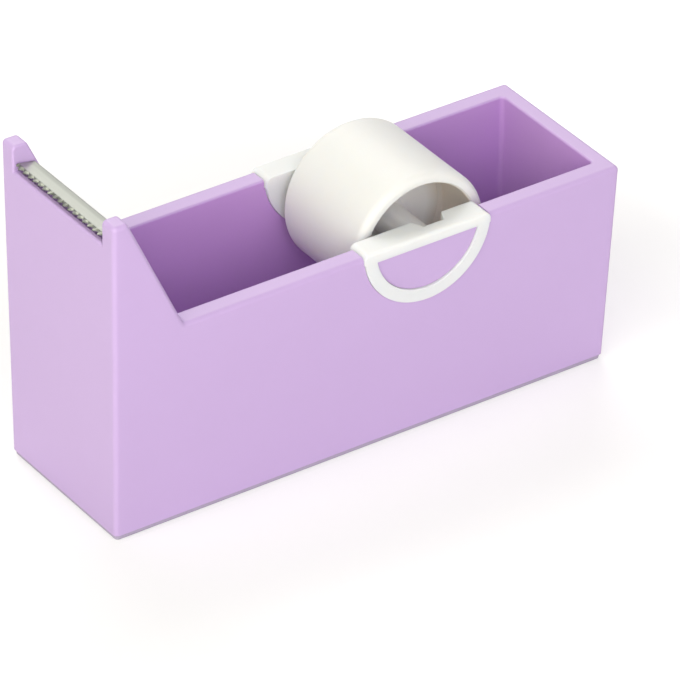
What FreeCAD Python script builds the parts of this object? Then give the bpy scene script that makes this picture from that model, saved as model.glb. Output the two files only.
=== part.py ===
import FreeCAD, Part
import math
import os
from FreeCAD import Vector

# Tape dispenser: open trough, tall cutting head, lift-out spool.
# Millimetres, +X from the cutting head to the rear, +Y to the far side, +Z up.
# The origin lies on the table under the middle of the outline.

# Casing outline
length = 95.8            # over the head's front edge and the rear rim
rim_width = 31.2         # over the side walls at the rim
rim_height = 36.25       # table to rim
head_height = 58.0       # table to the top of the cheeks
front_lean = 0.4         # degrees, front wall leaning out towards the top
side_lean = 0.94         # degrees, each side wall
rear_lean = 2.7          # degrees, rear wall
edge_radius = 0.8        # rounding of the outer edges
inner_edge_radius = 0.4  # rounding of the edges on the trough side
corner_radius = 0.8      # upright inner corners of the trough
floor_radius = 0.5       # around the trough floor

# Casing walls
side_wall = 3.4
rear_wall = 2.9          # at the rim
front_wall = 3.7
floor_height = 9.0       # table to the trough floor
floor_thickness = 2.0
foot_height = 1.0        # table to the lower edge of the casing

# Head
cheek_top = 2.7          # length of the flat top of a cheek
slope_foot = 13.0        # front face to the foot of the slope, at the rim
cheek_corner = 0.7       # rounding where the cheek top meets the slope
slope_corner = 1.0       # rounding where the slope meets the rim
lip_drop = 4.4           # cheek top down to the front lip
lip_depth = 0.9          # front to back
lip_radius = 0.5
groove_width = 0.9       # between the lip and the blade's seat
groove_drop = 1.2        # lip down to the groove's floor

# Blade
blade_thickness = 0.5
blade_tilt = 10.5        # degrees, toothed edge up
blade_drop = 4.1         # cheek top down to the seat's rear edge
blade_leg = 7.5
blade_bend = 0.4         # inner radius of the bend
blade_end_gap = 0.1      # each end, at the foot of the leg, to the casing
blade_fit = 0.06         # blade to its seat and studs
tooth_pitch = 1.4
tooth_depth = 0.8
stud_radius = 1.0
stud_head_radius = 1.7
stud_head_height = 0.7
stud_chamfer = 0.35      # around a stud's head
stud_spacing = 15.0      # between the two studs
stud_drop = 4.2          # seat's rear edge down to the studs

# Saddles
saddle_x = 10.5          # middle of a saddle, along the casing
saddle_radius = 12.0     # of the ring outside and of the bearing plate inside
ring_width = 2.2
bridge_thickness = 1.9   # of the flat over the rim
bridge_rise = 0.5        # its top above the rim
ring_proud = 0.3         # ring beyond the wall, at the rim
groove_depth = 0.65      # groove for the ring, at the rim
plate_proud = 0.65       # bearing plate beyond the trough wall
web_left = 1.3           # wall kept between the groove and the pocket
saddle_fit = 0.06        # saddle to casing, all round
saddle_edge = 0.5        # rounding along the bridge's outer edge
saddle_corner = 1.2      # rounding of the bridge's two ends, seen from the side
notch_flare = 1.0        # each side of the slot, at the trough side

# Axle and spool
axle_offset = 2.55       # behind the saddle's middle
axle_drop = 5.55         # top of the bridge down to the axle's line
axle_radius = 1.85
axle_chamfer = 0.4
axle_end_gap = 0.2       # end of the axle to the pocket's floor
running_gap = 0.08       # around the axle, in hub and slot
spool_diameter = 25.0
spool_wall = 2.05
spool_side_gap = 1.3     # each end to the bearing plate
spool_edge = 1.2         # rounding of the outer end edges
mouth_chamfer = 0.3
hub_wall = 0.9
hub_inset = 0.4          # hub end behind the drum's end
web_thickness = 1.8
web_chamfer = 0.6        # where the web meets the drum and the hub

# Base
base_wall = 3.4          # around the space under the floor
cover_ledge = 1.2        # width of the step that the cover seats on
cover_thickness = 1.6
cover_fit = 0.15
boss_radius = 2.8
boss_inset = 4.6         # boss line in from the walls of the space
screw_radius = 1.1
screw_head_radius = 2.2
screw_head_height = 1.2
screw_tip_gap = 0.6
screw_fit = 0.08
ballast_gap = 0.5        # ballast to bosses and walls
ballast_fit = 0.06       # ballast to floor and cover
ballast_corner = 2.0
mat_inset = 0.25         # mat's edge in from the casing's foot
mat_corner = 0.8


# Places that follow from the sizes
def tan(degrees):
    return math.tan(math.radians(degrees))


def front_x(z):
    return -length / 2 + (head_height - edge_radius - z) * tan(front_lean)


def rear_x(z):
    return length / 2 - (rim_height - edge_radius - z) * tan(rear_lean)


def side_y(z):
    return rim_width / 2 - (rim_height - z) * tan(side_lean)


def trough_front_x(z):
    return front_x(z) + front_wall


def trough_rear_x(z):
    return length / 2 - rear_wall - (rim_height - z) * tan(side_lean)


def trough_side_y(z):
    return side_y(z) - side_wall


lip_z = head_height - lip_drop
seat_z = head_height - blade_drop
seat_x = trough_front_x(seat_z)
pocket_z = seat_z - blade_leg - blade_end_gap

bridge_top = rim_height + bridge_rise
bridge_bottom = bridge_top - bridge_thickness
saddle_outer_y = side_y(rim_height) + ring_proud
groove_floor_y = side_y(rim_height) - groove_depth
pocket_floor_y = groove_floor_y - web_left
plate_outer_y = pocket_floor_y - saddle_fit
plate_inner_y = trough_side_y(rim_height) - plate_proud
ring_inner_y = groove_floor_y + saddle_fit

axle_x = saddle_x + axle_offset
axle_z = bridge_top - axle_drop
axle_half = pocket_floor_y - axle_end_gap
spool_half = plate_inner_y - spool_side_gap

floor_under = floor_height - floor_thickness
cover_top = foot_height + cover_thickness
space_front_x = front_x(foot_height) + base_wall
space_rear_x = rear_x(foot_height) - base_wall
space_half = side_y(foot_height) - base_wall
boss_points = [
    (x, y)
    for x in (space_front_x + boss_inset, space_rear_x - boss_inset)
    for y in (-space_half + boss_inset, space_half - boss_inset)
]


# Helpers
def flat_face(points):
    return Part.Face(Part.makePolygon(points + points[:1]))


def profile_xz(points, y):
    return flat_face([Vector(x, y, z) for x, z in points])


def across(points, y_min, y_max):
    return profile_xz(points, y_min).extrude(Vector(0, y_max - y_min, 0))


def box(x_min, x_max, y_min, y_max, z_min, z_max):
    size = (x_max - x_min, y_max - y_min, z_max - z_min)
    return Part.makeBox(*size, Vector(x_min, y_min, z_min))


def drafted_block(z_min, z_max, x_min, x_max, half):
    """Six flat faces; the three limits are functions of the height."""
    rings = []
    for z in (z_min, z_max):
        rings.append([
            Vector(x_min(z), -half(z), z),
            Vector(x_max(z), -half(z), z),
            Vector(x_max(z), half(z), z),
            Vector(x_min(z), half(z), z),
        ])
    low, high = rings
    faces = [flat_face(low[::-1]), flat_face(high)]
    for i in range(4):
        j = (i + 1) % 4
        faces.append(flat_face([low[i], low[j], high[j], high[i]]))
    return Part.Solid(Part.makeShell(faces))


def rounded_plate(x_min, x_max, half, z_min, z_max, radius):
    plate = box(x_min, x_max, -half, half, z_min, z_max)
    return plate.makeFillet(radius, [e for e in plate.Edges if is_upright(e)])


def is_upright(edge):
    run = edge.Vertexes[-1].Point - edge.Vertexes[0].Point
    return abs(run.z) > 0.98 * run.Length > 0


def rod(radius, x, z, y_min, y_max):
    """A cylinder lying along Y."""
    return Part.makeCylinder(radius, y_max - y_min, Vector(x, y_min, z), Vector(0, 1, 0))


def mirrored(shape):
    return shape.mirror(Vector(0, 0, 0), Vector(0, 1, 0))


def single(shape):
    """The one solid of a boolean result."""
    return shape.removeSplitter().Solids[0]


# Casing
def side_outline():
    """Rim, slope and cheek top as one profile, with its two corners rounded."""
    face = profile_xz([
        (-length, foot_height),
        (length, foot_height),
        (length, rim_height),
        (-length / 2 + slope_foot, rim_height),
        (-length / 2 + cheek_top, head_height),
        (-length, head_height),
    ], -rim_width)
    prism = face.extrude(Vector(0, 2 * rim_width, 0))
    for x, radius in ((slope_foot, slope_corner), (cheek_top, cheek_corner)):
        line_x = -length / 2 + x
        corner = [
            e for e in prism.Edges
            if all(abs(v.X - line_x) < 0.01 for v in e.Vertexes)
        ]
        prism = prism.makeFillet(radius, corner)
    return prism


def outer_body():
    block = drafted_block(foot_height, head_height, front_x, rear_x, side_y)
    body = block.common(side_outline()).Solids[0]
    edges = [e for e in body.Edges if is_outer_edge(e)]
    return body.makeFillet(edge_radius, edges)


def is_outer_edge(edge):
    """Every edge but those of the foot and those that cross a wall's top."""
    middle = edge.BoundBox.Center
    crosses = edge.BoundBox.YLength > rim_width / 2
    at_ends = middle.x > rear_x(rim_height) - 0.1 or middle.x < front_x(head_height) + 0.1
    return middle.z > foot_height + 0.1 and (at_ends or not crosses)


def trough_core():
    core = drafted_block(
        floor_height, head_height + 1, trough_front_x, trough_rear_x, trough_side_y)
    upright = [e for e in core.Edges if is_upright(e)]
    core = core.makeFillet(corner_radius, upright)
    floor_edges = [e for e in core.Edges if e.BoundBox.ZMax < floor_height + 0.01]
    return core.makeFillet(floor_radius, floor_edges)


def blade_window():
    """Between the cheeks: lip, groove, tilted seat, and square corners behind the leg."""
    front = front_x(lip_z) - 2
    back = seat_x + corner_radius + leg_thickness_x()
    lip_back = front_x(lip_z) + lip_depth
    step_x = lip_back + groove_width
    step_z = seat_z + (seat_x - step_x) * tan(blade_tilt)
    top = head_height + 1
    profile = across([
        (front, lip_z),
        (lip_back, lip_z),
        (lip_back, lip_z - groove_drop),
        (step_x, lip_z - groove_drop),
        (step_x, step_z),
        (seat_x, seat_z),
        (trough_front_x(pocket_z), pocket_z),
        (back, pocket_z),
        (back, top),
        (front, top),
    ], -rim_width, rim_width)
    between = drafted_block(
        foot_height, top + 1, lambda z: front - 1, trough_rear_x, trough_side_y)
    return profile.common(between)


def lines_along_y(shape, x, z):
    return [
        e for e in shape.Edges
        if all(math.hypot(v.X - x, v.Z - z) < 0.01 for v in e.Vertexes)
        and e.Length > 1
    ]


def saddle_seats():
    """Rim step, ring groove and bearing pocket for both saddles."""
    radius = saddle_radius + saddle_fit
    cuts = []
    step = box(
        saddle_x - radius, saddle_x + radius,
        trough_side_y(floor_height), rim_width,
        bridge_bottom - saddle_fit, bridge_top)
    groove = half_ring(radius, saddle_radius - ring_width - saddle_fit,
                       groove_floor_y, rim_width)
    pocket = half_disc(radius, trough_side_y(floor_height) - 1, pocket_floor_y)
    for cut in (step, groove, pocket):
        cuts += [cut, mirrored(cut)]
    return cuts


def half_disc(radius, y_min, y_max):
    disc = rod(radius, saddle_x, bridge_top, y_min, y_max)
    reach = 2 * radius
    below = box(saddle_x - reach, saddle_x + reach, y_min, y_max,
                bridge_top - reach, bridge_top)
    return disc.common(below)


def half_ring(outer, inner, y_min, y_max):
    return half_disc(outer, y_min, y_max).cut(half_disc(inner, y_min, y_max))


def base_space():
    """The space under the floor, with the step for the cover, less the bosses."""
    space = box(space_front_x, space_rear_x, -space_half, space_half,
                foot_height, floor_under)
    for x, y in boss_points:
        boss = Part.makeCylinder(boss_radius, floor_under, Vector(x, y, 0))
        space = space.cut(boss)
    step = box(space_front_x - cover_ledge, space_rear_x + cover_ledge,
               -space_half - cover_ledge, space_half + cover_ledge,
               foot_height, cover_top)
    return space.fuse(step)


def screw_pilots():
    depth = floor_under + floor_thickness / 2
    return [
        Part.makeCylinder(screw_radius + screw_fit, depth, Vector(x, y, 0))
        for x, y in boss_points
    ]


def stud_point(y):
    z = seat_z - stud_drop
    return Vector(trough_front_x(z), y, z)


def stud_row():
    return [-stud_spacing / 2, stud_spacing / 2]


def blade_stud(y):
    """A moulded stud with its chamfered head, pointing into the trough."""
    root = stud_point(y) - Vector(1, 0, 0)
    reach = 1 + leg_thickness_x()
    stem = Part.makeCylinder(stud_radius, reach + stud_head_height / 2, root, Vector(1, 0, 0))
    head = Part.makeCylinder(stud_head_radius, stud_head_height,
                             root + Vector(reach, 0, 0), Vector(1, 0, 0))
    rim = [e for e in head.Edges if e.BoundBox.XMin > root.x + reach + 0.01
           and e.BoundBox.XLength < 0.01]
    return stem.fuse(head.makeChamfer(stud_chamfer, rim))


def leg_thickness_x():
    """Wall face to the far side of the blade's leg, with a little room."""
    return blade_thickness + 3 * blade_fit


def casing():
    body = outer_body()
    body = body.cut([trough_core(), blade_window(), base_space()] + screw_pilots())
    body = soften_trough_edges(single(body))
    body = body.cut(saddle_seats())
    body = body.fuse([blade_stud(y) for y in stud_row()])
    return single(body)


def soften_trough_edges(body):
    """Round the lip and the seat, then the trough side of the rim, slopes and cheeks."""
    body = body.makeFillet(lip_radius, lines_along_y(body, front_x(lip_z), lip_z))
    body = body.makeFillet(blade_bend, lines_along_y(body, seat_x, seat_z))
    return body.makeFillet(inner_edge_radius, [e for e in body.Edges if is_inner_edge(e)])


def is_inner_edge(edge):
    """True along the rim, the slopes and the cheeks, on the trough side."""
    first, last = edge.ParameterRange
    points = [edge.valueAt(first + (last - first) * i / 4) for i in range(5)]
    low = min(p.z for p in points)
    high = max(p.z for p in points)
    on_side = all(abs(abs(p.y) - trough_side_y(p.z)) < 0.005 for p in points)
    at_rim = all(abs(p.z - rim_height) < 0.005 for p in points)
    within = all(abs(p.y) < trough_side_y(rim_height) + 0.005 for p in points)
    ahead = max(p.x for p in points) < trough_rear_x(rim_height) + 0.005
    if at_rim:
        return within and ahead
    off_seat = high > seat_z + blade_thickness or min(p.x for p in points) > seat_x + front_wall
    at_front = all(abs(p.x - front_x(p.z)) < 0.005 for p in points)
    return on_side and low > rim_height - 0.005 and (off_seat or at_front)


# Blade
def blade():
    """Toothed plate on the seat, bent down over the wall with two stud holes."""
    tilt = math.radians(blade_tilt)
    lean = math.radians(front_lean)
    along = Vector(-math.cos(tilt), 0, math.sin(tilt))
    up = Vector(math.sin(tilt), 0, math.cos(tilt))
    down = Vector(math.sin(lean), 0, -math.cos(lean))
    back = Vector(math.cos(lean), 0, math.sin(lean))
    corner = Vector(seat_x + blade_fit, 0, seat_z + blade_fit)
    outer_corner = corner + (up + back) * (blade_thickness / (1 + up.dot(back)))
    tip = corner + along * ((seat_x - front_x(seat_z)) / math.cos(tilt))
    foot = corner + down * blade_leg
    outline = [
        tip,
        corner,
        foot,
        foot + back * blade_thickness,
        outer_corner,
        tip + up * blade_thickness,
    ]
    half = trough_side_y(pocket_z) - blade_end_gap
    strip = across([(p.x, p.z) for p in outline], -half, half)
    strip = strip.makeFillet(blade_bend, lines_along_y(strip, corner.x, corner.z))
    outer_line = lines_along_y(strip, outer_corner.x, outer_corner.z)
    strip = strip.makeFillet(blade_bend + blade_thickness, outer_line)
    cuts = stud_holes() + tooth_gaps(tip, along, up, half)
    return single(strip.cut(cuts))


def stud_holes():
    start = Vector(2, 0, 0)
    return [
        Part.makeCylinder(stud_radius + blade_fit, 4, stud_point(y) - start, Vector(1, 0, 0))
        for y in stud_row()
    ]


def tooth_gaps(tip, along, up, half):
    """V gaps between the teeth, square to the blade's face."""
    teeth = int(2 * half / tooth_pitch)
    first = -teeth * tooth_pitch / 2
    gaps = []
    for i in range(teeth + 1):
        y = first + i * tooth_pitch
        middle = Vector(tip.x, y, tip.z) - up * blade_thickness
        side = Vector(0, tooth_pitch / 2, 0)
        face = flat_face([middle - side, middle + side, middle - along * tooth_depth])
        gaps.append(face.extrude(up * (3 * blade_thickness)))
    return gaps


# Saddles
def saddle_near():
    return mirrored(saddle_far())


def saddle_far():
    """Ring outside, bearing plate inside, and the flat bridge over the rim."""
    ring = half_ring(saddle_radius, saddle_radius - ring_width, ring_inner_y, saddle_outer_y)
    plate = half_disc(saddle_radius, plate_inner_y, plate_outer_y)
    bridge = box(saddle_x - saddle_radius, saddle_x + saddle_radius,
                 plate_inner_y, saddle_outer_y, bridge_bottom, bridge_top)
    body = single(ring.fuse([plate, bridge]))
    outer_line = [
        e for e in body.Edges
        if e.BoundBox.ZMin > bridge_top - 0.01 and e.BoundBox.YMin > saddle_outer_y - 0.01
    ]
    body = body.makeFillet(saddle_edge, outer_line)
    body = body.common(side_limits())
    return single(body.cut(axle_slot()))


def side_limits():
    """A block as long as the saddle, with the two rounded ends of its bridge."""
    block = box(saddle_x - saddle_radius, saddle_x + saddle_radius,
                0, rim_width, bridge_top - 2 * saddle_radius, bridge_top)
    ends = [
        e for e in block.Edges
        if e.BoundBox.ZMin > bridge_top - 0.01 and e.BoundBox.XLength < 0.01
    ]
    return block.makeFillet(saddle_corner, ends)


def axle_slot():
    """A U slot, open at the top, flared towards the trough where it enters."""
    half = axle_radius + running_gap
    above = bridge_top + 1
    inside = plate_inner_y - 1
    seat = rod(half, axle_x, axle_z, inside, plate_outer_y)
    slot = box(axle_x - half, axle_x + half, inside, plate_outer_y, axle_z, above)
    wide = half + notch_flare
    mouth = flat_face([
        Vector(axle_x - wide, plate_inner_y, bridge_bottom),
        Vector(axle_x + wide, plate_inner_y, bridge_bottom),
        Vector(axle_x + half, plate_outer_y, bridge_bottom),
        Vector(axle_x - half, plate_outer_y, bridge_bottom),
    ]).extrude(Vector(0, 0, above - bridge_bottom))
    return [seat, slot, mouth]


# Spool and axle
def axle():
    pin = rod(axle_radius, axle_x, axle_z, -axle_half, axle_half)
    ends = [e for e in pin.Edges if e.BoundBox.YLength < 0.01]
    return pin.makeChamfer(axle_chamfer, ends)


def spool():
    """Drum, centre web and hub, turned about the axle's line."""
    outer = spool_diameter / 2
    inner = outer - spool_wall
    hub_outer = axle_radius + running_gap + hub_wall
    hub_half = spool_half - hub_inset
    tube = rod(outer, axle_x, axle_z, -spool_half, spool_half)
    tube = tube.makeFillet(spool_edge, end_circles(tube, spool_half))
    wells = []
    for side in (-1, 1):
        low, high = sorted((side * web_thickness / 2, side * (spool_half + 1)))
        well = rod(inner, axle_x, axle_z, low, high)
        core = rod(hub_outer, axle_x, axle_z, low, high)
        well = well.cut(core)
        roots = end_circles(well, web_thickness / 2)
        wells.append(well.makeChamfer(web_chamfer, roots))
    drum = single(tube.cut(wells))
    mouths = [
        e for e in drum.Edges
        if abs(abs(e.BoundBox.Center.y) - spool_half) < 0.01
        and abs(e.BoundBox.XLength - 2 * inner) < 0.05
    ]
    drum = drum.makeChamfer(mouth_chamfer, mouths)
    bore = rod(axle_radius + running_gap, axle_x, axle_z, -spool_half, spool_half)
    trims = [
        rod(inner - mouth_chamfer, axle_x, axle_z, hub_half, spool_half + 1),
        rod(inner - mouth_chamfer, axle_x, axle_z, -spool_half - 1, -hub_half),
    ]
    return single(drum.cut([bore] + trims))


def end_circles(shape, half):
    return [
        e for e in shape.Edges
        if e.BoundBox.YLength < 0.01 and abs(abs(e.BoundBox.Center.y) - half) < 0.01
    ]


# Base pieces
def cover():
    edge = cover_ledge - cover_fit
    plate = box(space_front_x - edge, space_rear_x + edge,
                -space_half - edge, space_half + edge, foot_height, cover_top)
    holes = []
    for x, y in boss_points:
        holes.append(Part.makeCylinder(screw_radius + screw_fit, cover_top, Vector(x, y, 0)))
        holes.append(screw_head(x, y, screw_fit))
    return single(plate.cut(holes))


def screw_head(x, y, gap):
    """Countersunk head, flush with the cover's underside."""
    place = Vector(x, y, foot_height)
    return Part.makeCone(screw_head_radius + gap, screw_radius + gap, screw_head_height, place)


def screw(x, y):
    tip = floor_under + floor_thickness / 2 - screw_tip_gap
    shank = Part.makeCylinder(screw_radius, tip - foot_height, Vector(x, y, foot_height))
    slot = box(x - screw_radius, x + screw_radius, y - 0.25, y + 0.25,
               foot_height, foot_height + screw_head_height / 2)
    return single(shank.fuse(screw_head(x, y, 0)).cut(slot))


def ballast():
    reach = boss_inset + boss_radius + ballast_gap
    return rounded_plate(
        space_front_x + reach, space_rear_x - reach, space_half - ballast_gap,
        cover_top + ballast_fit, floor_under - ballast_fit, ballast_corner)


def foot_mat():
    return rounded_plate(
        front_x(foot_height) + mat_inset, rear_x(foot_height) - mat_inset,
        side_y(foot_height) - mat_inset, 0, foot_height, mat_corner)


def all_pieces():
    pieces = {
        "casing": casing(),
        "blade": blade(),
        "saddle_near": saddle_near(),
        "saddle_far": saddle_far(),
        "axle": axle(),
        "spool": spool(),
        "base_cover": cover(),
        "ballast": ballast(),
        "foot_mat": foot_mat(),
    }
    for number, (x, y) in enumerate(boss_points, start=1):
        pieces["cover_screw_%d" % number] = screw(x, y)
    return pieces


os.makedirs("parts", exist_ok=True)
for name, shape in all_pieces().items():
    limits = shape.BoundBox
    print("%-14s solids %d valid %s volume %.1f  x %.2f..%.2f  y %.2f..%.2f  z %.2f..%.2f" % (
        name, len(shape.Solids), shape.isValid(), shape.Volume,
        limits.XMin, limits.XMax, limits.YMin, limits.YMax, limits.ZMin, limits.ZMax))
    shape.exportStep("parts/" + name + ".step")
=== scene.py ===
import math

import bmesh
import bpy
import numpy as np
from mathutils import Matrix, Vector


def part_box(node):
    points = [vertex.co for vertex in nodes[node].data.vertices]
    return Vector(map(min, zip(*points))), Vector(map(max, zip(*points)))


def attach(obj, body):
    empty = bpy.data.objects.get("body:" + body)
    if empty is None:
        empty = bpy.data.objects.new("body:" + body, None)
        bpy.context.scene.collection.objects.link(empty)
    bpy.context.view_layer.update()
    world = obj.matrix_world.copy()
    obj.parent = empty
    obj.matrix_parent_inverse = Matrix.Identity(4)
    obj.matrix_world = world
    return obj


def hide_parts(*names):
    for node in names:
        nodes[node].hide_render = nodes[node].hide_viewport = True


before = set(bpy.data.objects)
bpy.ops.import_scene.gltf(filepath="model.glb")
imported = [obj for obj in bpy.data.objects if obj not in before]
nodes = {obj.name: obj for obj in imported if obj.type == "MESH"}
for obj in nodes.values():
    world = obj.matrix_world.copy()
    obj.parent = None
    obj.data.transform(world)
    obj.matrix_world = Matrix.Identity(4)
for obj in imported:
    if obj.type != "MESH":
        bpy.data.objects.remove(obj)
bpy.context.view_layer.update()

bl_info = {
    "name": "Tape dispenser",
    "version": (1, 0, 0),
    "blender": (4, 5, 0),
    "location": "3D View > Sidebar > Dispenser",
    "description": "Dresses the tape dispenser: casing, blade, saddles, spool, base and stage",
    "category": "Object",
}

MM = 0.001

# Sizes of the solids that a finish or a cut follows
BLADE_TILT = math.radians(10.5)
BLADE_THICKNESS = 0.5 * MM
INNER_HALF_WIDTH = 12.55 * MM
RIM_HEIGHT = 36.25 * MM
HEAD_LENGTH = 13.0 * MM
HEAD_WALL = 2.0 * MM
BORE_RADIUS = 10.45 * MM
SCREW_COUNT = 4

# Meshes
MERGE_DISTANCE = 0.001 * MM
CUT_DISTANCE = 0.0001 * MM
FLAT_ANGLE = math.radians(0.4)
SHARP_ANGLE = math.radians(32)
BEVEL_ANGLE = math.radians(38)
BEVEL_SEGMENTS = 3
FLAT_SIDE = 12 * MM * MM


# Sizes and colours that a user would change
def length(name, description, default):
    return bpy.props.FloatProperty(
        name=name, description=description, default=default, unit="LENGTH",
        subtype="DISTANCE", precision=5)


def colour(name, description, default):
    return bpy.props.FloatVectorProperty(
        name=name, description=description, default=default, subtype="COLOR",
        size=3, min=0, max=1)


def share(name, description, default):
    return bpy.props.FloatProperty(
        name=name, description=description, default=default, subtype="FACTOR",
        min=0, max=1)


def strength(name, description, default):
    return bpy.props.FloatProperty(name=name, description=description, default=default, min=0)


def power(name, description, default):
    return bpy.props.FloatProperty(
        name=name, description=description, default=default, unit="POWER")


def angle(name, description, default):
    return bpy.props.FloatProperty(
        name=name, description=description, default=default, subtype="ANGLE",
        unit="ROTATION")


class CasingLook(bpy.types.PropertyGroup):
    shade: colour("Plastic", "Colour of the moulded casing", (0.504, 0.362, 0.632))
    # The inside colour is painted shade: the trough walls are darker and more saturated than
    # the plastic
    inside: colour("Inside", "Painted shade: colour of the trough walls, darker and deeper",
                   (0.510, 0.295, 0.637))
    roughness: share("Roughness", "Roughness of the satin wall", 0.42)
    grain: length("Grain", "Size of the fine moulded grain", 0.25 * MM)
    depth: length("Grain depth", "Height of the grain in the bump", 0.006 * MM)


class WhiteLook(bpy.types.PropertyGroup):
    shade: colour("Plastic", "Colour of saddles, spool and axle", (0.730, 0.747, 0.747))
    roughness: share("Roughness", "Roughness of the white plastic", 0.50)
    softness: length("Edge", "Rounding of the saddles' edges", 0.18 * MM)


class SteelLook(bpy.types.PropertyGroup):
    shade: colour("Steel", "Colour of the blade", (0.42, 0.435, 0.39))
    roughness: share("Roughness", "Roughness along the brushing", 0.26)
    line: length("Brushing", "Spacing of the brushed lines", 0.12 * MM)
    tip: length("Tip", "Thickness left at the tips of the teeth", 0.10 * MM)
    grind: angle("Grind", "Slope of the ground face behind the teeth", math.radians(33))


class MatLook(bpy.types.PropertyGroup):
    shade: colour("Rubber", "Colour of the mat", (0.38, 0.33, 0.45))
    corner: length("Corner", "Radius of the mat's corners", 0.8 * MM)
    bulge: length("Edge", "How far the mat's edge bulges", 0.3 * MM)


class StageLook(bpy.types.PropertyGroup):
    backdrop: colour("Backdrop", "Colour of the floor and background", (1.0, 1.0, 1.0))
    horizon: strength("Horizon", "Strength of the even light from low down", 1.25)
    zenith: strength("Zenith", "Strength of the even light from above", 0.09)
    corner: power("Corner lamp", "Wide low lamp at the front left corner", 3.94)
    front: power("Front lamp", "Small lamp in front of the cutting head", 1.67)
    near: power("Near lamp", "Lamp beside the long near side", 1.96)
    shoulder: power("Shoulder lamp", "Lamp between the front and the near one", 3.01)
    high: power("High lamp", "Small lamp above the cutting head", 1.04)
    back: power("Back lamp", "Lamp that the blade mirrors", 5.84)


# Shader arithmetic
class Field:
    """A number socket of a material, used in plain arithmetic."""

    def __init__(self, skin, socket):
        self.skin = skin
        self.socket = socket

    def _with(self, operation, first, second):
        node = self.skin.node("ShaderNodeMath", {"operation": operation},
                              {0: first, 1: second})
        return Field(self.skin, node.outputs[0])

    def __add__(self, other):
        return self._with("ADD", self, other)

    def __radd__(self, other):
        return self._with("ADD", other, self)

    def __sub__(self, other):
        return self._with("SUBTRACT", self, other)

    def __rsub__(self, other):
        return self._with("SUBTRACT", other, self)

    def __mul__(self, other):
        return self._with("MULTIPLY", self, other)

    def __rmul__(self, other):
        return self._with("MULTIPLY", other, self)

    def __truediv__(self, other):
        return self._with("DIVIDE", self, other)

    def __rtruediv__(self, other):
        return self._with("DIVIDE", other, self)

    def __pow__(self, other):
        return self._with("POWER", self, other)

    def above(self, limit):
        return self._with("GREATER_THAN", self, limit)

    def at_least(self, limit):
        return self._with("MAXIMUM", self, limit)

    def at_most(self, limit):
        return self._with("MINIMUM", self, limit)

    def ramp(self, start, end):
        """Nought at start, one at end, even in between and level beyond."""
        return ((self - start) / (end - start)).at_least(0).at_most(1)


class Skin:
    """A material or world under construction: every node comes from node()."""

    def __init__(self, name, kind="materials"):
        self.material = getattr(bpy.data, kind).new(name)
        self.material.use_nodes = True
        self.tree = self.material.node_tree
        self.tree.nodes.clear()
        self._place = None

    def node(self, kind, settings=None, sockets=None):
        node = self.tree.nodes.new(kind)
        for key, value in (settings or {}).items():
            setattr(node, key, value)
        for key, value in (sockets or {}).items():
            if isinstance(value, Field):
                value = value.socket
            if isinstance(value, bpy.types.NodeSocket):
                self.tree.links.new(value, node.inputs[key])
            else:
                node.inputs[key].default_value = value
        return node

    def place(self):
        """Object coordinates, in metres."""
        if self._place is None:
            self._place = self.node("ShaderNodeTexCoord").outputs["Object"]
        return self._place

    def axis(self, letter):
        split = self.node("ShaderNodeSeparateXYZ", None, {0: self.place()})
        return Field(self, split.outputs["XYZ".index(letter)])

    def stretched(self, scale):
        """Object coordinates multiplied by a vector, for streaks along an axis."""
        node = self.node("ShaderNodeVectorMath", {"operation": "MULTIPLY"},
                         {0: self.place(), 1: scale})
        return node.outputs[0]

    def noise(self, size, detail, vector=None):
        """Soft noise from 0 to 1 with lumps of about the given size in metres."""
        node = self.node("ShaderNodeTexNoise", None, {
            "Vector": vector or self.place(), "Scale": 1 / size, "Detail": detail})
        return Field(self, node.outputs["Fac"])

    def blend(self, factor, first, second):
        """Colour between two others; the colours are sockets 6, 7 and 2 of the node."""
        node = self.node("ShaderNodeMix", {"data_type": "RGBA"}, {
            0: factor, 6: first, 7: second})
        return node.outputs[2]

    def bump(self, height, distance):
        node = self.node("ShaderNodeBump", None, {"Distance": distance, "Height": height})
        return node.outputs[0]

    def finish(self, sockets):
        """Principled shader with these sockets, joined to the output."""
        shader = self.node("ShaderNodeBsdfPrincipled", None, sockets)
        self.node("ShaderNodeOutputMaterial", None, {0: shader.outputs[0]})
        return self.material


def rgba(colour_value, factor=1.0):
    return (*(min(1.0, c * factor) for c in colour_value), 1.0)


# Finishes
def trough_shade_mask(skin):
    """Where shade is painted: one on the walls inside the trough, fading out at the rims and
    behind the blade.
    """
    low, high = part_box("casing")
    wall = (high[1] - INNER_HALF_WIDTH) * 0.5
    x = skin.axis("X")
    width = (skin.axis("Y") ** 2) ** 0.5
    inward = width.ramp(INNER_HALF_WIDTH + 0.8 * MM, INNER_HALF_WIDTH + 0.2 * MM)
    below = skin.axis("Z").ramp(RIM_HEIGHT - 0.02 * MM, RIM_HEIGHT - 0.42 * MM)
    head = low[0] + HEAD_WALL
    return inward * below * (high[0] - wall - x).above(0) * x.ramp(head, head + HEAD_LENGTH)


def casing_finish(look):
    """Satin moulded plastic: fine even grain, faint flow marks, and painted shade inside the
    trough, where the colour is darker and deeper.
    """
    skin = Skin("casing_satin")
    flow = skin.noise(22 * MM, 2.0, skin.stretched((0.35, 1.0, 1.0)))
    cloud = skin.noise(6 * MM, 3.0)
    vary = flow * 0.6 + cloud * 0.4
    outer = skin.blend(vary, rgba(look.shade, 0.975), rgba(look.shade, 1.025))
    # Painted shade: the trough walls take the darker, deeper inside colour
    inner_painted_shade = skin.blend(vary, rgba(look.inside, 0.97), rgba(look.inside, 1.03))
    grain = skin.noise(look.grain, 2.0)
    return skin.finish({
        "Base Color": skin.blend(trough_shade_mask(skin), outer, inner_painted_shade),
        "Roughness": look.roughness - 0.05 + 0.10 * grain,
        "IOR": 1.5,
        "Normal": skin.bump(grain, look.depth),
    })


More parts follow.
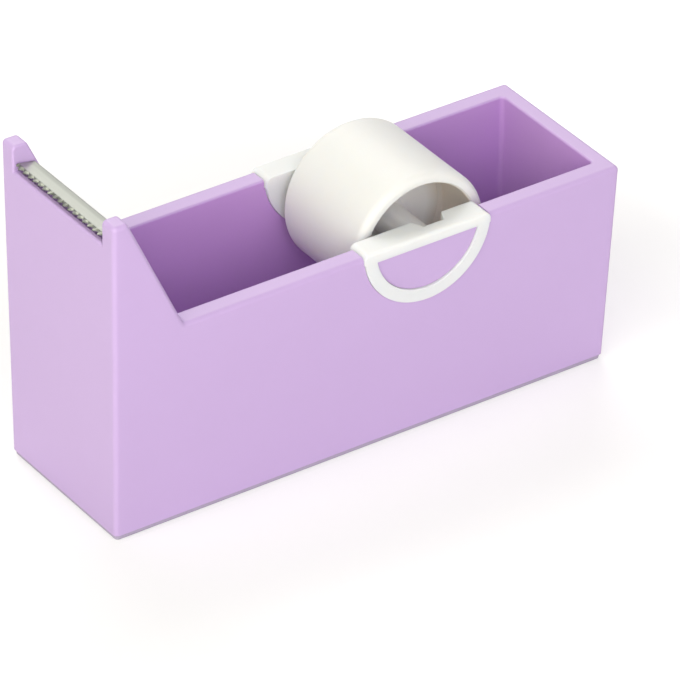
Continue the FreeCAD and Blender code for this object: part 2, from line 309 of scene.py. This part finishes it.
SPOOL_TINT = (0.985, 0.97, 0.955)
# Painted warm bounce light on the wall of the spool's bore
BORE_LIGHT_TINT = (0.98, 0.90, 0.83)


def white_finish(name, look, tint=(1.0, 1.0, 1.0), bore_light_tint=None):
    """Smooth white plastic, a little translucent.

    With a bore light tint, light is painted into the drum's bore: what lies within it is
    lighter, and its wall warmer, as painted warm bounce light."""
    skin = Skin(name)
    cloud = skin.noise(5 * MM, 3.0)
    shade = [c * t for c, t in zip(look.shade, tint)]
    base = skin.blend(cloud, rgba(shade, 0.985), rgba(shade, 1.01))
    if bore_light_tint:
        low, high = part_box("axle")
        x = skin.axis("X") - (low[0] + high[0]) / 2
        z = skin.axis("Z") - (low[2] + high[2]) / 2
        radius = (x ** 2 + z ** 2) ** 0.5
        edge = BORE_RADIUS + 0.1 * MM
        # Painted light: within the bore the white is lighter, and near its wall warmer
        inside = (edge - radius).above(0)
        wall = inside * radius.ramp(edge - 3 * MM, edge)
        base = skin.blend(inside, base, rgba(shade, 1.28))
        warm = [c * t for c, t in zip(shade, bore_light_tint)]
        base = skin.blend(wall, base, rgba(warm))
    grain = skin.noise(0.35 * MM, 2.0)
    return skin.finish({
        "Base Color": base,
        "Subsurface Weight": 0.5,
        "Subsurface Radius": (1.0, 0.85, 0.7),
        "Subsurface Scale": 3.0 * MM,
        "Roughness": look.roughness - 0.04 + 0.08 * grain,
        "IOR": 1.45,
        "Normal": skin.bump(grain, 0.003 * MM),
    })


def steel_finish(look):
    """Brushed steel: lines along the blade, painted shade as a darker band at the back, and
    grinding marks with painted shade along the ground edge.
    """
    skin = Skin("blade_steel")
    low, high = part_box("blade")
    lines = skin.noise(look.line, 2.0, skin.stretched((1.0, 0.02, 1.0)))
    marks = skin.noise(0.25 * MM, 2.0, skin.stretched((0.25, 1.0, 0.25)))
    cloud = skin.noise(3 * MM, 3.0)
    back = skin.axis("X") - low[0]
    ground = back.ramp(0.95 * MM, 0.70 * MM)
    # Painted shade: the steel is darker from 3 mm behind the teeth
    shaded_back = back.ramp(2.5 * MM, 3.0 * MM)
    plain = skin.blend(lines * 0.6 + cloud * 0.4,
                       rgba(look.shade, 0.88), rgba(look.shade, 1.10))
    brushed = skin.blend(shaded_back, plain, rgba(look.shade, 0.80))
    # Along the ground edge the grinding marks are real; their darkness is painted shade
    shaded_grind_marks = skin.blend(marks, rgba(look.shade, 0.30), rgba(look.shade, 0.80))
    return skin.finish({
        "Base Color": skin.blend(ground * 0.85, brushed, shaded_grind_marks),
        "Metallic": 1.0,
        "Roughness": look.roughness + 0.14 * lines + 0.12 * ground,
        "Normal": skin.bump(lines, 0.004 * MM),
    })


def iron_finish():
    """Rough cast iron with fine pits."""
    skin = Skin("ballast_iron")
    pits = skin.noise(0.6 * MM, 4.0)
    return skin.finish({
        "Base Color": skin.blend(pits, (0.045, 0.043, 0.042, 1), (0.12, 0.115, 0.11, 1)),
        "Metallic": 0.6,
        "Roughness": 0.55 + 0.25 * pits,
        "Normal": skin.bump(pits, 0.05 * MM),
    })


def zinc_finish():
    """Bright zinc with fine turning marks."""
    skin = Skin("screw_zinc")
    lines = skin.noise(0.2 * MM, 3.0)
    return skin.finish({
        "Base Color": skin.blend(lines, (0.42, 0.43, 0.44, 1), (0.62, 0.62, 0.6, 1)),
        "Metallic": 1.0,
        "Roughness": 0.28 + 0.15 * lines,
        "Normal": skin.bump(lines, 0.004 * MM),
    })


def rubber_finish(look):
    """Matt foam rubber with fine open cells."""
    skin = Skin("mat_rubber")
    cells = skin.noise(0.3 * MM, 3.0)
    cloud = skin.noise(5 * MM, 2.0)
    return skin.finish({
        "Base Color": skin.blend(cells * 0.7 + cloud * 0.3,
                                 rgba(look.shade, 0.85), rgba(look.shade, 1.15)),
        "Roughness": 0.8 + 0.15 * cells,
        "Normal": skin.bump(cells, 0.03 * MM),
    })


def dress(node_name, material):
    """Gives a solid of the frame one material."""
    mesh = nodes[node_name].data
    mesh.materials.clear()
    mesh.materials.append(material)


# Pieces made from a solid of the frame
def whole_copy(node_name):
    """The solid's mesh with doubled points merged and each flat face in one polygon."""
    shape = bmesh.new()
    shape.from_mesh(nodes[node_name].data)
    bmesh.ops.remove_doubles(shape, verts=shape.verts, dist=MERGE_DISTANCE)
    bmesh.ops.dissolve_limit(
        shape, angle_limit=FLAT_ANGLE, verts=shape.verts, edges=shape.edges)
    return shape


def as_mesh(name, shape):
    """Mesh of a finished bmesh, which is freed."""
    mesh = bpy.data.meshes.new(name)
    shape.to_mesh(mesh)
    shape.free()
    return mesh


def add_piece(name, mesh, material, body, node_name):
    """Puts a finished mesh into the scene in the place of a solid."""
    mesh.polygons.foreach_set("use_smooth", np.ones(len(mesh.polygons), dtype=bool))
    mesh.set_sharp_from_angle(angle=SHARP_ANGLE)
    mesh.materials.append(material)
    piece = bpy.data.objects.new(name, mesh)
    bpy.context.scene.collection.objects.link(piece)
    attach(piece, body)
    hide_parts(node_name)
    return piece


def read_all(rows, name, width=1, kind=float):
    """One attribute of every face, edge or corner as an array."""
    values = np.empty(len(rows) * width, dtype=kind)
    rows.foreach_get(name, values)
    return values.reshape(-1, width) if width > 1 else values


def crease_flats(mesh, least):
    """Shades flat sides flat: their edges towards a bend become sharp.

    A side is all the faces with one normal, and counts as flat where their areas add up to
    more than the given least. An edge is sharp where its faces lie in different sides."""
    faces = mesh.polygons
    normals = np.round(read_all(faces, "normal", 3), 3) + 0.0
    side = np.unique(normals, axis=0, return_inverse=True)[1].reshape(-1)
    area = np.bincount(side, weights=read_all(faces, "area"))
    label = np.repeat(np.where(area[side] > least, side + 1, 0),
                      read_all(faces, "loop_total", kind=int))
    edge = read_all(mesh.loops, "edge_index", kind=int)
    lowest = np.full(len(mesh.edges), len(faces) + 1)
    highest = np.zeros(len(mesh.edges), dtype=int)
    np.minimum.at(lowest, edge, label)
    np.maximum.at(highest, edge, label)
    sharp = read_all(mesh.edges, "use_edge_sharp", kind=bool) | (lowest != highest)
    mesh.edges.foreach_set("use_edge_sharp", sharp)


def soften(piece, width):
    """Rounds every sharp edge of a piece by the given width."""
    bevel = piece.modifiers.new("soft_edges", "BEVEL")
    bevel.width = width
    bevel.segments = BEVEL_SEGMENTS
    bevel.limit_method = "ANGLE"
    bevel.angle_limit = BEVEL_ANGLE
    bevel.harden_normals = True


def add_saddle(side, material, softness):
    """A saddle with its edges rounded."""
    name, node_name = side + "_saddle", "saddle_" + side
    mesh = as_mesh(name, whole_copy(node_name))
    soften(add_piece(name, mesh, material, "stand", node_name), softness)


def add_blade(material, look):
    """The bent plate with its toothed edge ground down to a thin line from above.

    The grinding plane passes the given tip thickness above the underside at the teeth."""
    shape = whole_copy("blade")
    low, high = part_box("blade")
    ahead = Vector((-math.cos(BLADE_TILT), 0, math.sin(BLADE_TILT)))
    rise = Vector((math.sin(BLADE_TILT), 0, math.cos(BLADE_TILT)))
    underside = Vector((low[0], 0, high[2] - BLADE_THICKNESS * rise.z))
    bmesh.ops.triangulate(shape, faces=shape.faces)
    cut = bmesh.ops.bisect_plane(
        shape, geom=shape.verts[:] + shape.edges[:] + shape.faces[:], dist=CUT_DISTANCE,
        plane_co=underside + rise * look.tip, clear_outer=True,
        plane_no=rise * math.cos(look.grind) + ahead * math.sin(look.grind))
    rim = [part for part in cut["geom_cut"] if isinstance(part, bmesh.types.BMEdge)]
    bmesh.ops.edgeloop_fill(shape, edges=rim)
    piece = add_piece("toothed_blade", as_mesh("toothed_blade", shape), material,
                      "stand", "blade")
    crease_flats(piece.data, FLAT_SIDE)


# Mat under the base
def soft_slab(name, low, high, corner, bulge, around=12, across=9):
    """Closed flat slab whose edge is a half ellipse.

    The outline is a rounded rectangle: corner k turns from k to k + 1 quarter turns about
    its own centre. At angle t from -90 to 90 degrees the edge stands in from the outline
    by bulge * (1 - cos t), at the height middle + thickness / 2 * sin t."""
    quarter = np.arange(4)[:, None]
    angle = quarter * np.pi / 2 + np.linspace(0, np.pi / 2, around)[None, :]
    side_x = np.sign(np.cos(quarter * np.pi / 2 + np.pi / 4))
    side_y = np.sign(np.sin(quarter * np.pi / 2 + np.pi / 4))
    middle = (np.array(low) + np.array(high)) / 2
    half = (np.array(high) - np.array(low)) / 2
    rise = np.linspace(-np.pi / 2, np.pi / 2, across)[:, None, None]
    turn = corner - bulge * (1 - np.cos(rise))
    x = middle[0] + (half[0] - corner) * side_x + turn * np.cos(angle)
    y = middle[1] + (half[1] - corner) * side_y + turn * np.sin(angle)
    z = middle[2] + half[2] * np.sin(rise) + 0 * x
    points = np.stack([x, y, z], axis=-1).reshape(-1, 3)
    count = 4 * around
    ring = np.arange(count)
    after = np.roll(ring, -1)
    step = count * np.arange(across - 1)[:, None]
    quads = np.stack([ring + step, after + step, after + step + count,
                      ring + step + count], axis=-1).reshape(-1, 4)
    top = ring + count * (across - 1)
    mesh = bpy.data.meshes.new(name)
    mesh.from_pydata(points.tolist(), [],
                     quads.tolist() + [top.tolist(), ring[::-1].tolist()])
    return mesh


def add_mat(material, look):
    """The foam pad, as large as its solid."""
    low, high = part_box("foot_mat")
    slab = soft_slab("rubber_mat", low, high, look.corner, look.bulge)
    add_piece("rubber_mat", slab, material, "stand", "foot_mat")


# Pieces
class DISPENSER_OT_casing(bpy.types.Operator):
    """Casing and base cover: moulded plastic"""
    bl_idname = "dispenser.casing"
    bl_label = "Casing"

    def execute(self, context):
        look = context.scene.dispenser_casing
        satin = casing_finish(look)
        for name in ("casing", "base_cover"):
            dress(name, satin)
        return {"FINISHED"}


class DISPENSER_OT_white_parts(bpy.types.Operator):
    """Saddles, axle and spool: white plastic"""
    bl_idname = "dispenser.white_parts"
    bl_label = "White parts"

    def execute(self, context):
        look = context.scene.dispenser_white
        saddle = white_finish("saddle_white", look)
        for side in ("near", "far"):
            add_saddle(side, saddle, look.softness)
        dress("axle", saddle)
        dress("spool", white_finish("spool_white", look, SPOOL_TINT, BORE_LIGHT_TINT))
        return {"FINISHED"}


class DISPENSER_OT_metal_parts(bpy.types.Operator):
    """Blade, screws and ballast"""
    bl_idname = "dispenser.metal_parts"
    bl_label = "Metal parts"

    def execute(self, context):
        steel = context.scene.dispenser_steel
        add_blade(steel_finish(steel), steel)
        zinc = zinc_finish()
        for number in range(1, SCREW_COUNT + 1):
            dress("cover_screw_%d" % number, zinc)
        dress("ballast", iron_finish())
        return {"FINISHED"}


class DISPENSER_OT_mat(bpy.types.Operator):
    """Rubber mat under the base"""
    bl_idname = "dispenser.mat"
    bl_label = "Mat"

    def execute(self, context):
        look = context.scene.dispenser_mat
        add_mat(rubber_finish(look), look)
        return {"FINISHED"}


# Stage: the camera is fitted to the photograph, with its centre and focal length in pixels
CAMERA_PLACE = Vector((-519.25, -752.15, 609.09)) * MM
CAMERA_AZIMUTH = math.radians(-34.848)
CAMERA_ELEVATION = math.radians(33.148)
CAMERA_ROLL = math.radians(0.5912)
FOCAL_PIXELS = 6868.085
IMAGE_PIXELS = 680
OPTICAL_AXIS = (337.461, 340.224)
SENSOR_WIDTH = 36.0
CAMERA_REACH = (0.05, 20.0)


def camera_axes():
    """Right, up and back directions from azimuth, elevation and roll."""
    azimuth, elevation = CAMERA_AZIMUTH, CAMERA_ELEVATION
    back = Vector((math.sin(azimuth) * math.cos(elevation),
                   -math.cos(azimuth) * math.cos(elevation),
                   math.sin(elevation)))
    level = Vector((0, 0, 1)).cross(back).normalized()
    rise = back.cross(level)
    right = level * math.cos(CAMERA_ROLL) + rise * math.sin(CAMERA_ROLL)
    up = rise * math.cos(CAMERA_ROLL) - level * math.sin(CAMERA_ROLL)
    return right, up, back


def add_camera(scene):
    """The fitted camera; its optical axis lies off the centre by a small shift."""
    data = bpy.data.cameras.new("camera")
    data.sensor_width = SENSOR_WIDTH
    data.lens = FOCAL_PIXELS / IMAGE_PIXELS * SENSOR_WIDTH
    data.shift_x = (IMAGE_PIXELS / 2 - OPTICAL_AXIS[0]) / IMAGE_PIXELS
    data.shift_y = (OPTICAL_AXIS[1] - IMAGE_PIXELS / 2) / IMAGE_PIXELS
    data.clip_start, data.clip_end = CAMERA_REACH
    camera = bpy.data.objects.new("camera", data)
    right, up, back = camera_axes()
    turn = Matrix((right, up, back)).transposed().to_4x4()
    camera.matrix_world = Matrix.Translation(CAMERA_PLACE) @ turn
    scene.collection.objects.link(camera)
    scene.camera = camera


# Name, place, width and height, colour
LAMPS = (
    ("corner", (-0.75, -0.75, 0.30), (1.0, 0.5), (1.0, 1.0, 0.77)),
    ("front", (-0.75, -0.08, 0.65), (0.4, 0.4), (1.0, 1.0, 0.80)),
    ("near", (-0.15, -0.80, 0.55), (0.8, 0.5), (1.0, 0.88, 1.0)),
    ("shoulder", (-0.45, -0.60, 0.65), (0.8, 0.5), (1.0, 1.0, 1.0)),
    ("high", (-0.50, -0.05, 0.85), (0.4, 0.4), (1.0, 1.0, 0.80)),
    ("back", (0.32, 0.72, 0.84), (0.7, 0.4), (1.0, 0.96, 0.94)),
)
LAMP_TARGET = (0, 0, 0.03)


def add_lamp(scene, name, place, size, watts, shade):
    """A soft rectangular lamp that faces the object."""
    data = bpy.data.lights.new(name, "AREA")
    data.shape = "RECTANGLE"
    data.size, data.size_y = size
    data.energy = watts
    data.color = shade
    lamp = bpy.data.objects.new(name, data)
    lamp.location = place
    aim = Vector(LAMP_TARGET) - Vector(place)
    lamp.rotation_mode = "QUATERNION"
    lamp.rotation_quaternion = aim.to_track_quat("-Z", "Y")
    scene.collection.objects.link(lamp)


FLOOR_REACH = 1.5
FLOOR_PAINT = 0.80
FLOOR_SEEN = 0.62
GLOW_DISTANCES = (0.075, 0.125)
GLOW_STRENGTHS = (0.38, 0.75)


def floor_finish(backdrop):
    """Plain pale paint; to the camera it is whiter, and whitest away from the object.

    Seen by the camera it is darker paint with a glow, which passes from its first strength
    to its second between the two distances from the centre."""
    skin = Skin("floor_paper")
    path = skin.node("ShaderNodeLightPath")
    seen = Field(skin, path.outputs["Is Camera Ray"])
    far = (skin.axis("X") ** 2 + skin.axis("Y") ** 2) ** 0.5
    away = skin.node("ShaderNodeMapRange", {"interpolation_type": "SMOOTHSTEP"}, {
        "Value": far,
        "From Min": GLOW_DISTANCES[0], "From Max": GLOW_DISTANCES[1],
        "To Min": GLOW_STRENGTHS[0], "To Max": GLOW_STRENGTHS[1],
    })
    glow_shade = skin.node("ShaderNodeVectorMath", {"operation": "SCALE"}, {
        0: tuple(backdrop), "Scale": away.outputs[0]})
    paint = skin.node("ShaderNodeBsdfDiffuse", None, {"Color": rgba(backdrop, FLOOR_PAINT)})
    weak = skin.node("ShaderNodeBsdfDiffuse", None, {"Color": rgba(backdrop, FLOOR_SEEN)})
    glow = skin.node("ShaderNodeEmission", None, {"Color": glow_shade.outputs[0]})
    both = skin.node("ShaderNodeAddShader", None, {0: weak.outputs[0], 1: glow.outputs[0]})
    pick = skin.node("ShaderNodeMixShader", None,
                     {0: seen, 1: paint.outputs[0], 2: both.outputs[0]})
    skin.node("ShaderNodeOutputMaterial", None, {0: pick.outputs[0]})
    return skin.material


def add_floor(scene, backdrop):
    """One large square at the height of the table."""
    mesh = bpy.data.meshes.new("floor")
    near, far = -FLOOR_REACH, FLOOR_REACH
    corners = [(near, near, 0), (far, near, 0), (far, far, 0), (near, far, 0)]
    mesh.from_pydata(corners, [], [(0, 1, 2, 3)])
    mesh.materials.append(floor_finish(backdrop))
    floor = bpy.data.objects.new("floor", mesh)
    scene.collection.objects.link(floor)


def add_world(scene, look):
    """White behind the object and in reflections; otherwise pale light that dims upwards."""
    sky = Skin("studio", "worlds")
    path = sky.node("ShaderNodeLightPath")
    seen = Field(sky, path.outputs["Is Camera Ray"])
    for ray in ("Is Glossy Ray", "Is Transmission Ray"):
        seen = seen.at_least(path.outputs[ray])
    way = sky.node("ShaderNodeTexCoord").outputs["Generated"]
    split = sky.node("ShaderNodeSeparateXYZ", None, {0: way})
    rise = Field(sky, split.outputs[2]).at_least(0) ** 0.5
    even = sky.node("ShaderNodeBackground", None, {
        "Color": (1.0, 1.0, 1.0, 1.0),
        "Strength": look.horizon + (look.zenith - look.horizon) * rise,
    })
    white = sky.node("ShaderNodeBackground", None, {"Color": rgba(look.backdrop)})
    mix = sky.node("ShaderNodeMixShader", None,
                   {0: seen, 1: even.outputs[0], 2: white.outputs[0]})
    sky.node("ShaderNodeOutputWorld", None, {0: mix.outputs[0]})
    scene.world = sky.material


class DISPENSER_OT_stage(bpy.types.Operator):
    """Floor, background, lamps and camera"""
    bl_idname = "dispenser.stage"
    bl_label = "Stage"

    def execute(self, context):
        scene = context.scene
        look = scene.dispenser_stage
        add_floor(scene, look.backdrop)
        add_world(scene, look)
        for name, place, size, shade in LAMPS:
            add_lamp(scene, name + "_lamp", place, size, getattr(look, name), shade)
        add_camera(scene)
        scene.view_settings.view_transform = "Standard"
        return {"FINISHED"}


class DISPENSER_PT_pieces(bpy.types.Panel):
    """Builds the dispenser piece by piece"""
    bl_idname = "DISPENSER_PT_pieces"
    bl_label = "Dispenser"
    bl_space_type = "VIEW_3D"
    bl_region_type = "UI"
    bl_category = "Dispenser"

    def draw(self, context):
        for operator in OPERATORS:
            self.layout.operator(operator.bl_idname)


LOOKS = {
    "dispenser_casing": CasingLook,
    "dispenser_white": WhiteLook,
    "dispenser_steel": SteelLook,
    "dispenser_mat": MatLook,
    "dispenser_stage": StageLook,
}
OPERATORS = (
    DISPENSER_OT_casing,
    DISPENSER_OT_white_parts,
    DISPENSER_OT_metal_parts,
    DISPENSER_OT_mat,
    DISPENSER_OT_stage,
)


def register():
    for look in LOOKS.values():
        bpy.utils.register_class(look)
    for name, look in LOOKS.items():
        setattr(bpy.types.Scene, name, bpy.props.PointerProperty(type=look))
    for operator in OPERATORS:
        bpy.utils.register_class(operator)
    bpy.utils.register_class(DISPENSER_PT_pieces)


def unregister():
    bpy.utils.unregister_class(DISPENSER_PT_pieces)
    for operator in reversed(OPERATORS):
        bpy.utils.unregister_class(operator)
    for name, look in reversed(LOOKS.items()):
        delattr(bpy.types.Scene, name)
        bpy.utils.unregister_class(look)


def main():
    register()
    bpy.ops.dispenser.casing()
    bpy.ops.dispenser.white_parts()
    bpy.ops.dispenser.metal_parts()
    bpy.ops.dispenser.mat()
    bpy.ops.dispenser.stage()


if __name__ == "__main__":
    main()
